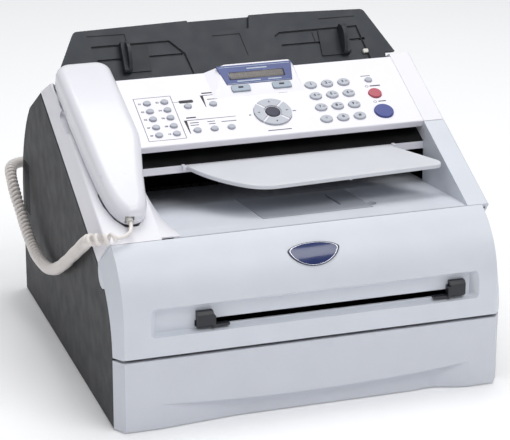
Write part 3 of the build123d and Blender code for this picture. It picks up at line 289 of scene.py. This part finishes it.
NODE_LOOK = {
    "handset_cradle": "light_casing", "scanner_housing": "housing_light", "control_panel": "panel_white",
    "small_keys": "key_and_tab",
    "handset_outer_shell": "handset_white", "handset_inner_shell": "handset_white",
    # The output flap takes deck_grey, a copy of cover_grey darkened as painted shade.
    "top_cover": "cover_grey", "output_flap": "deck_grey", "document_output_support": "support_grey",
    "document_tray": "document_dark", "document_guide_left": "document_shade",
    "document_guide_right": "document_shade", "drum_unit": "inner_black",
}
SLOT_OF = {entry["node"]: entry["material_slot"] for entry in frame["record"]["subparts"]}
for node_name, node in NODES.items():
    look = NODE_LOOK.get(node_name, SLOT_OF[node_name])
    node.data.materials.clear()
    node.data.materials.append(MAT[look])


# ------------------------------------------------------------------ mesh helpers
def make_object(name, vertices, faces, material, matrix=None, smooth=True):
    """Mesh object in world metres, from points in a local frame when a matrix is given."""
    mesh = bpy.data.meshes.new(name)
    points = [Vector(v) for v in vertices]
    if matrix is not None:
        points = [matrix @ p for p in points]
    mesh.from_pydata([tuple(p) for p in points], [], faces)
    mesh.validate()
    mesh.update()
    if smooth:
        mesh.polygons.foreach_set("use_smooth", [True] * len(mesh.polygons))
    mesh.materials.append(MAT[material])
    item = bpy.data.objects.new(name, mesh)
    bpy.context.scene.collection.objects.link(item)
    return item


def fit(item, body):
    """Fix a piece to its body."""
    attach(item, body)
    return item


def tidy_normals(item, angle=35.0):
    """Smooth faces, with sharp edges where the surface turns by more than the angle, in degrees."""
    item.data.set_sharp_from_angle(angle=math.radians(angle))


def slab(name, outline, low, high, material, matrix, body, slot, round_over=0.0):
    """Plate with the given outline in a local plane; its top edge can be rounded over."""
    count = len(outline)
    centre = Vector((sum(p[0] for p in outline) / count, sum(p[1] for p in outline) / count))
    levels = [(low, 0.0)]
    if round_over:
        for step in range(4):
            angle = step / 3 * math.pi / 2
            levels.append((high - round_over + round_over * math.sin(angle),
                           round_over * (1 - math.cos(angle))))
    else:
        levels.append((high, 0.0))
    vertices = []
    for height, inset in levels:
        for x, y in outline:
            away = Vector((x, y)) - centre
            reach = max(away.length, 1e-6)
            spot = centre + away * max(0.0, (reach - inset) / reach)
            vertices.append((spot.x, spot.y, height))
    faces = [tuple(reversed(range(count)))]
    for level_index in range(len(levels) - 1):
        base = level_index * count
        for i in range(count):
            j = (i + 1) % count
            faces.append((base + i, base + j, base + count + j, base + count + i))
    last = (len(levels) - 1) * count
    faces.append(tuple(range(last, last + count)))
    item = make_object(name, vertices, faces, material, matrix)
    tidy_normals(item)
    return fit(item, body)


def oval(x, y, rx, ry, count=32):
    """Outline of an ellipse."""
    return [(x + rx * math.cos(2 * math.pi * i / count), y + ry * math.sin(2 * math.pi * i / count))
            for i in range(count)]


def rounded(x0, x1, y0, y1, radius, steps=5):
    """Outline of a rectangle with rounded corners."""
    points = []
    corners = ((x1 - radius, y1 - radius, 0), (x0 + radius, y1 - radius, 1),
               (x0 + radius, y0 + radius, 2), (x1 - radius, y0 + radius, 3))
    for cx, cy, quarter in corners:
        for i in range(steps + 1):
            angle = (quarter + i / steps) * math.pi / 2
            points.append((cx + radius * math.cos(angle), cy + radius * math.sin(angle)))
    return points


def stroke(name, points, width, low, high, material, matrix, body, slot, closed=False):
    """Flat line of even width along points in a local plane, with mitred corners."""
    spots = [Vector(p) for p in points]
    count = len(spots)
    sides = []
    for i, spot in enumerate(spots):
        before = spots[i - 1] if (closed or i > 0) else None
        after = spots[(i + 1) % count] if (closed or i < count - 1) else None
        run_in = (spot - before).normalized() if before is not None else (after - spot).normalized()
        run_out = (after - spot).normalized() if after is not None else run_in
        middle = (run_in + run_out).normalized()
        normal = Vector((-middle.y, middle.x))
        reach = width / 2 / max(0.35, normal.dot(Vector((-run_in.y, run_in.x))))
        sides.append((spot + normal * reach, spot - normal * reach))
    vertices, faces = [], []
    for left_side, right_side in sides:
        vertices += [(*left_side, low), (*right_side, low), (*right_side, high), (*left_side, high)]
    for i in range(count if closed else count - 1):
        a, b = 4 * i, 4 * ((i + 1) % count)
        faces += [(a + 3, a + 2, b + 2, b + 3), (a + 1, a, b, b + 1), (a + 2, a + 1, b + 1, b + 2),
                  (a, a + 3, b + 3, b)]
    if not closed:
        last = 4 * (count - 1)
        faces += [(0, 1, 2, 3), (last + 3, last + 2, last + 1, last)]
    item = make_object(name, vertices, faces, material, matrix, smooth=False)
    return fit(item, body)


def glyph(name, text, size, x, y, height, material, matrix, body, slot):
    """A raised digit or sign."""
    curve = bpy.data.curves.new(name, "FONT")
    curve.body = text
    curve.size = size
    curve.extrude = 0.02
    curve.offset = 0.035 * size
    curve.align_x = "CENTER"
    curve.align_y = "CENTER"
    curve.resolution_u = 3
    holder = bpy.data.objects.new(name + "_text", curve)
    bpy.context.scene.collection.objects.link(holder)
    bpy.context.view_layer.update()
    mesh = bpy.data.meshes.new_from_object(holder.evaluated_get(bpy.context.evaluated_depsgraph_get()))
    bpy.data.objects.remove(holder)
    mesh.transform(matrix @ Matrix.Translation((x, y, height)))
    mesh.materials.clear()
    mesh.materials.append(MAT[material])
    item = bpy.data.objects.new(name, mesh)
    bpy.context.scene.collection.objects.link(item)
    return fit(item, body)


# ------------------------------------------------------------------ curly cord
WIRE = 0.0036
COIL_RADIUS = 0.0042
ROUTE = [
    (-140, 193.2, 124), (-140, 211, 124), (-145, 222, 125), (-158, 222.5, 126), (-175, 219.5, 128),
    (-189.5, 208.5, 131), (-198.5, 192, 132), (-201.5, 174, 127.5), (-201.5, 155, 115),
    (-200, 136, 100.5), (-199, 115, 88), (-198, 92, 78.5), (-197, 66, 75), (-196, 39, 77.5),
    (-195.5, 9, 87.5), (-195.5, -27, 106), (-195.5, -65, 129), (-195, -98, 149), (-194.5, -119, 162.5),
    (-197, -138, 171.5), (-186.5, -148, 173.5), (-173.5, -147, 173), (-165, -145.8, 173.8),
    (-157.8, -139.6, 176.3), (-156.5, -130.3, 180.2),
]
BASE_TAIL, HANDSET_TAIL = 0.040, 0.026
PITCH_TIGHT, PITCH_OPEN = 0.0051, 0.0072
OPENING_START, OPENING_SPAN = 0.60, 0.2    # shares of the cord's length over which the coil opens
SWELL_RUN = 0.007                          # length in which a tail widens to the coil
STEPS_PER_TURN = 18
TAIL_STEP = 0.0012


def route_points(route):
    """Points along the smooth curve that has the route as its control points."""
    curve = bpy.data.curves.new("cord_route", "CURVE")
    curve.dimensions = "3D"
    spline = curve.splines.new("NURBS")
    spline.points.add(len(route) - 1)
    for point, spot in zip(spline.points, route):
        point.co = (spot[0] * MM, spot[1] * MM, spot[2] * MM, 1.0)
    spline.order_u = 3
    spline.use_endpoint_u = True
    spline.resolution_u = 16
    holder = bpy.data.objects.new("cord_route", curve)
    bpy.context.scene.collection.objects.link(holder)
    bpy.context.view_layer.update()
    mesh = bpy.data.meshes.new_from_object(holder.evaluated_get(bpy.context.evaluated_depsgraph_get()))
    points = [v.co.copy() for v in mesh.vertices]
    bpy.data.objects.remove(holder)
    return points


def carried_frames(points):
    """The direction, and a side direction that doesn't twist, at each point of a line."""
    frames = []
    side = None
    for i, point in enumerate(points):
        ahead = points[min(i + 1, len(points) - 1)] - points[max(i - 1, 0)]
        ahead.normalize()
        if side is None:
            side = ahead.cross(Vector((0, 0, 1)))
            if side.length < 0.1:
                side = ahead.cross(Vector((1, 0, 0)))
        side = (side - ahead * side.dot(ahead)).normalized()
        frames.append((ahead, side.copy()))
    return frames


def smooth_step(value):
    """0 to 1 with level ends."""
    value = min(1.0, max(0.0, value))
    return value * value * (3 - 2 * value)


def coiled(points):
    """The wire's own line: plain tails and a helix round the middle of the route."""
    frames = carried_frames(points)
    lengths = [0.0]
    for a, b in zip(points, points[1:]):
        lengths.append(lengths[-1] + (b - a).length)
    total = lengths[-1]
    start, end = BASE_TAIL, total - HANDSET_TAIL
    line, travelled, turned, index = [], 0.0, 0.0, 0
    while travelled < total:
        while index < len(lengths) - 2 and lengths[index + 1] < travelled:
            index += 1
        share = (travelled - lengths[index]) / (lengths[index + 1] - lengths[index])
        spot = points[index].lerp(points[index + 1], share)
        ahead = frames[index][0].lerp(frames[index + 1][0], share).normalized()
        side = frames[index][1].lerp(frames[index + 1][1], share)
        side = (side - ahead * side.dot(ahead)).normalized()
        across = ahead.cross(side)
        swell = smooth_step((travelled - start) / SWELL_RUN) * smooth_step((end - travelled) / SWELL_RUN)
        if swell > 0:
            opening = smooth_step((travelled - OPENING_START * total) / (OPENING_SPAN * total))
            pitch = PITCH_TIGHT + (PITCH_OPEN - PITCH_TIGHT) * opening
            step = pitch / STEPS_PER_TURN
            turned += 2 * math.pi / STEPS_PER_TURN
        else:
            step = TAIL_STEP
        waver = 1.0 + 0.045 * math.sin(travelled * 150.0) + 0.03 * math.sin(travelled * 61.0 + 1.0)
        reach = COIL_RADIUS * swell * waver
        line.append(spot + (side * math.cos(turned) + across * math.sin(turned)) * reach)
        travelled += step
    line.append(points[-1].copy())
    return line


def wire_mesh(name, line, radius, sides=10):
    """Round wire along a line."""
    frames = carried_frames(line)
    vertices, faces = [], []
    for spot, (ahead, side) in zip(line, frames):
        across = ahead.cross(side)
        for i in range(sides):
            angle = 2 * math.pi * i / sides
            vertices.append(spot + (side * math.cos(angle) + across * math.sin(angle)) * radius)
    for ring in range(len(line) - 1):
        for i in range(sides):
            j = (i + 1) % sides
            a, b = ring * sides, (ring + 1) * sides
            faces.append((a + i, a + j, b + j, b + i))
    last = (len(line) - 1) * sides
    faces += [tuple(reversed(range(sides))), tuple(range(last, last + sides))]
    return make_object(name, vertices, faces, "cord_grey")


cord_line = coiled(route_points(ROUTE))
cord_length = sum((b - a).length for a, b in zip(cord_line, cord_line[1:]))
cord = wire_mesh("handset_cord", cord_line, WIRE / 2)
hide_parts("curly_cord")
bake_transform(cord)
print("cord wire length", round(cord_length, 3))

# ------------------------------------------------------------------ badge on the front cover
ARC_Y, ARC_Z, ARC_RADIUS = -116.8, 102.4, 69.67
BADGE_X, BADGE_ANGLE = 3.8, math.radians(39.5)
BADGE_HALF_LENGTH, BADGE_HALF_HEIGHT = 24.8, 11.2


def on_arc(x, along, height):
    """Point over the front cover's curve, by its distance along the curve from the badge's centre."""
    angle = BADGE_ANGLE + along / ARC_RADIUS
    reach = ARC_RADIUS + height
    return (x * MM, (ARC_Y - reach * math.cos(angle)) * MM, (ARC_Z + reach * math.sin(angle)) * MM)


def leaf(angle, half_length, half_height):
    """Oval that comes to a point at both ends; the points sit above its middle."""
    x = math.cos(angle)
    y = math.copysign((1 - abs(x) ** 2.0) ** 0.62, math.sin(angle)) if abs(x) < 1 else 0.0
    return x * half_length, y * half_height * (0.62 if y > 0 else 1.42) + 0.40 * half_height


def badge_ring(name, profile, material, close_middle):
    """Leaf-shaped ring or dish; profile lists (share of the outline, height)."""
    count = 72
    vertices, faces = [], []
    for share, height in profile:
        half_length, half_height = BADGE_HALF_LENGTH * share + (share - 1) * 2, BADGE_HALF_HEIGHT * share
        for i in range(count):
            x, y = leaf(2 * math.pi * i / count, half_length, half_height)
            vertices.append(on_arc(BADGE_X + x, y, height))
    for ring in range(len(profile) - 1):
        for i in range(count):
            j = (i + 1) % count
            a, b = ring * count, (ring + 1) * count
            faces.append((a + i, a + j, b + j, b + i))
    if close_middle:
        faces.append(tuple(range((len(profile) - 1) * count, len(profile) * count)))
    item = make_object(name, vertices, faces, material)
    tidy_normals(item, 50)
    return fit(item, "front_cover")


badge_ring("badge_base", [(1.0, -0.4), (1.0, 0.7), (0.985, 1.0), (0.95, 1.05), (0.94, 0.9), (0.94, -0.4)],
           "badge_dark", False)
badge_ring("badge_rim", [(0.94, 0.2), (0.94, 1.0), (0.93, 1.1), (0.915, 1.1), (0.905, 1.0), (0.905, 0.2)],
           "badge_silver", False)
badge_ring("badge_plate", [(0.91, 0.2), (0.91, 0.75), (0.75, 0.95), (0.5, 1.15), (0.25, 1.3), (0.06, 1.35)],
           "badge_blue", True)

# ------------------------------------------------------------------ control panel: display and prints
ON_PANEL = (PANEL, "control_panel", "key_grey")
BOLD_ON_PANEL = (PANEL, "control_panel", "guide_grey")
ON_POD = (POD, "control_panel", "key_grey")
IN_DISPLAY = (POD, "control_panel", "display_blue")
slab("display_bed", rounded(-10.4, 47.2, 20.2, 29.6, 1.6), 0.3, 0.48, "badge_dark", *IN_DISPLAY, 0.1)
slab("display_glass", rounded(-8.8, 45.6, 21.2, 28.6, 1.2), 0.4, 0.62, "lcd_grey", *IN_DISPLAY, 0.1)
for index, (x, w, length) in enumerate(((20.5, 32.9, 21.0), (9.0, 18.2, 24.0), (35.5, 18.2, 14.0))):
    outline = rounded(x - length / 2, x + length / 2, w - 0.7, w + 0.7, 0.6)
    slab(f"display_mark_{index}", outline, 0.36, 0.44, "tab_grey", *ON_POD)
stroke("display_upper_line", [(-17.5, 36.0), (54.5, 36.0)], 0.5, 0.38, 0.46, "tab_grey", *ON_POD)
stroke("display_lower_line", [(-13.2, 15.6), (51.4, 15.6)], 0.4, 0.38, 0.46, "tab_grey", *ON_POD)

INK_LOW, INK_HIGH = -0.02, 0.05
INK = (INK_LOW, INK_HIGH)
index_box = [(-109.5, 70.0), (-72.8, 70.0), (-72.8, 8.2), (-109.5, 8.2)]
stroke("print_index_box", index_box, 0.6, *INK, "ink_grey", *ON_PANEL, closed=True)
slab("print_index_pill", rounded(-66.8, -52.4, 57.6, 61.9, 1.6), *INK, "ink", *BOLD_ON_PANEL)
stroke("print_index_link", [(-72.6, 60.0), (-66.6, 60.0)], 0.45, *INK, "ink_grey", *ON_PANEL)


def wedge_print(name, x, top, bottom, line_end):
    """Tapered stroke with a thin line running right from its head."""
    outline = [
        (x - 1.7, top), (line_end, top), (line_end, top - 0.6), (x + 1.3, top - 0.8), (x + 0.3, bottom),
        (x - 0.25, bottom), (x - 1.6, top - 1.2)]
    count = len(outline)
    vertices = [(px, py, INK_LOW) for px, py in outline] + [(px, py, INK_HIGH) for px, py in outline]
    faces = [tuple(range(count)), tuple(range(count, 2 * count))]
    faces += [(i, (i + 1) % count, count + (i + 1) % count, count + i) for i in range(count)]
    fit(make_object(name, vertices, faces, "ink", PANEL, smooth=False), "control_panel")


wedge_print("print_copy_group", -42.2, 66.7, 49.4, -25.3)
wedge_print("print_fax_group", -67.4, 32.9, 13.4, -17.2)

BARS = [
    (-60.9, 36.2, 10.0, 1.7, "ink"), (-34.5, 69.6, 14.0, 1.7, "ink"), (-33.2, 60.2, 10.5, 1.0, "ink_grey"),
    (-59.8, 28.6, 9.0, 1.0, "ink_grey"), (-60.2, 25.2, 8.4, 1.0, "ink_grey"),
    (-43.1, 28.4, 7.6, 1.0, "ink_grey"), (-42.9, 25.0, 6.8, 1.0, "ink_grey"),
    (-25.8, 26.6, 15.0, 1.0, "ink_grey"), (2.4, 61.0, 8.0, 1.6, "ink"), (39.2, 60.8, 10.0, 1.6, "ink"),
    (19.8, 7.4, 24.0, 1.2, "ink_grey"), (-3.0, 32.0, 2.4, 1.4, "ink_grey"),
    (42.0, 32.4, 3.6, 1.2, "ink_grey"), (133.6, 34.4, 8.0, 1.3, "ink"), (134.0, 57.8, 11.0, 1.5, "ink"),
    (129.0, 73.4, 10.0, 1.0, "ink_grey"),
]
for index, (x, v, length, thick, look) in enumerate(BARS):
    outline = rounded(x - length / 2, x + length / 2, v - thick / 2, v + thick / 2, thick * 0.45)
    slab(f"print_bar_{index}", outline, *INK, look, *ON_PANEL)
for name, x, v in (("start", 126.2, 34.3), ("stop", 125.4, 57.8)):
    stroke(f"print_{name}_mark", oval(x, v, 1.5, 1.3, 16), 0.4, *INK, "ink", *BOLD_ON_PANEL, closed=True)
number = 1
for v in (61.5, 49.8, 38.5, 26.6, 15.3):
    for x in (-98.0, -80.7):
        glyph(f"print_index_{number}", f"{number:02d}", 3.2, x - 7.0, v + 0.4, 0.03, "ink_grey", *ON_PANEL)
        number += 1

DIAL_COLUMNS, DIAL_ROWS = (69.6, 86.7, 103.8), (66.6, 49.8, 32.7, 15.5)
SIGNS = ("1", "2", "3", "4", "5", "6", "7", "8", "9", "*", "0", "#")
BODY_NAMES = ("1", "2", "3", "4", "5", "6", "7", "8", "9", "star", "0", "hash")
for index, (sign, body_name) in enumerate(zip(SIGNS, BODY_NAMES)):
    x, v = DIAL_COLUMNS[index % 3], DIAL_ROWS[index // 3]
    key = "dial_key_" + body_name
    drop, size = (1.0, 5.6) if sign == "*" else (0.0, 4.6)
    has_bar = sign.isdigit() and sign not in "01"
    aside = 1.3 if has_bar else 0.0
    glyph("digit_" + body_name, sign, size, x - aside, v - drop, 2.03, "ink", PANEL, key, "guide_grey")
    if has_bar:
        outline = rounded(x + 1.2, x + 4.0, v - 0.55, v + 0.35, 0.4)
        slab("digit_bar_" + body_name, outline, 1.98, 2.04, "ink_grey", PANEL, key, "key_grey")
RING_X, RING_V, RING_MIDDLE = 20.0, 32.4, 14.0
for index in range(4):
    angle = index * math.pi / 2
    cx, cy = RING_X + RING_MIDDLE * math.cos(angle), RING_V + RING_MIDDLE * math.sin(angle)
    tip = [(cx + 1.7 * math.cos(angle), cy + 1.7 * math.sin(angle)),
           (cx + 1.2 * math.cos(angle + 2.2), cy + 1.2 * math.sin(angle + 2.2)),
           (cx + 1.2 * math.cos(angle - 2.2), cy + 1.2 * math.sin(angle - 2.2))]
    slab(f"ring_arrow_{index}", tip, 1.96, 2.05, "ink", PANEL, "navigation_ring", "guide_grey")
# Dark strokes on the document tray. The two recess strokes are painted shadow: black lines just inside the
# recess edges, where the gap lies in shade. The other strokes are dark lines on the tray.
for name, points, low, width in (
    ("upper_left", [(-137.7, 51.0), (-100.2, 50.4), (-99.4, 43.0)], -0.05, 0.8),
    ("centre", [(-11.8, 41.2), (16.4, 41.3), (21.2, 18.0)], -0.05, 0.8),
    ("upper_right", [(101.3, 50.0), (139.8, 49.9)], -0.05, 0.8),
    ("left_recess", [(-134.2, 39.5), (-56.8, 39.6), (-43.2, 25.2), (-37.2, 3.0)], -1.25, 1.3),
    ("left_rib", [(-99.0, 38.5), (-97.0, 27.0)], -1.25, 0.9),
    ("right_recess", [(53.0, 35.6), (57.9, 38.7), (139.3, 39.2), (147.6, 3.0)], -1.25, 1.3),
    ("right_rib", [(92.1, 36.5), (93.6, 27.0)], -1.25, 0.9),
):
    stroke("tray_line_" + name, points, width, low, low + 0.3, "opening_black", TRAY, "casing", "rubber")
tab = rounded(141.0, 146.4, 9.4, 13.4, 1.2)
slab("tray_tab", tab, -0.3, 2.4, "label_white", TRAY, "casing", "key_grey", 0.5)
RING_INNER, RING_OUTER, BRIDGE_HALF_WIDTH = 9.0, 18.1, 0.9
for index in range(4):
    angle = math.pi / 4 + index * math.pi / 2
    along, across = Vector((math.cos(angle), math.sin(angle))), Vector((-math.sin(angle), math.cos(angle)))
    centre = Vector((RING_X, RING_V))
    inner, outer, half = along * RING_INNER, along * RING_OUTER, across * BRIDGE_HALF_WIDTH
    bridge = [centre + inner + half, centre + inner - half, centre + outer - half, centre + outer + half]
    on_ring = (PANEL, "navigation_ring", "key_grey")
    slab(f"ring_bridge_{index}", bridge, -1.0, 1.7, "panel_white", *on_ring, 0.2)
collar = oval(RING_X, RING_V, 7.95, 7.95, 40)
stroke("ring_collar", collar, 0.6, -1.2, 1.2, "panel_white", *ON_PANEL, closed=True)
for index, x in enumerate((-1.5, 40.4)):
    outline = rounded(x - 2.6, x + 2.6, 69.0, 71.6, 0.6)
    slab(f"mode_lamp_{index}", outline, 2.95, 3.06, "ink", PANEL, "small_keys", "guide_grey")

# ------------------------------------------------------------------ floor and light
floor_mesh = bpy.data.meshes.new("floor")
floor_mesh.from_pydata([(-8, -6, 0), (8, -6, 0), (8, 12, 0), (-8, 12, 0)], [], [(0, 1, 2, 3)])
floor_look, floor_nodes, floor_links, floor_shader = new_material("floor_look")
floor_tone = spread(floor_nodes, floor_links, noise(floor_nodes, floor_links, 3.0, 2.0), 0.0, 1.0)
floor_color = blend_colors(
    floor_nodes, floor_links, floor_tone, (0.975, 0.975, 0.98, 1), (0.985, 0.985, 0.99, 1))
floor_links.new(floor_color, floor_shader.inputs["Base Color"])
floor_shader.inputs["Roughness"].default_value = 0.8
floor_shader.inputs["Emission Color"].default_value = (1, 1, 1, 1)
floor_shader.inputs["Emission Strength"].default_value = 0.09
floor_mesh.materials.append(floor_look)
floor = bpy.data.objects.new("floor", floor_mesh)
bpy.context.scene.collection.objects.link(floor)

world = bpy.data.worlds.new("studio")
bpy.context.scene.world = world
world.use_nodes = True
background = world.node_tree.nodes["Background"]
background.inputs["Color"].default_value = (0.95, 0.97, 1.0, 1.0)
background.inputs["Strength"].default_value = 0.40


def softbox(name, place, target, size, power):
    """Rectangular area light that faces a target."""
    light = bpy.data.lights.new(name, "AREA")
    light.shape = "RECTANGLE"
    light.size, light.size_y = size
    light.energy = power
    item = bpy.data.objects.new(name, light)
    item.location = place
    item.rotation_euler = (Vector(target) - Vector(place)).to_track_quat("-Z", "Y").to_euler()
    bpy.context.scene.collection.objects.link(item)


softbox("key_light", (0.5, -1.3, 2.0), (0, 0, 0.2), (1.4, 1.0), 18.0)
softbox("top_light", (0.1, 0.5, 2.3), (0, 0, 0.2), (1.6, 1.2), 25.0)
softbox("fill_light", (-2.0, -0.8, 1.0), (0, 0, 0.15), (1.2, 1.2), 2.5)
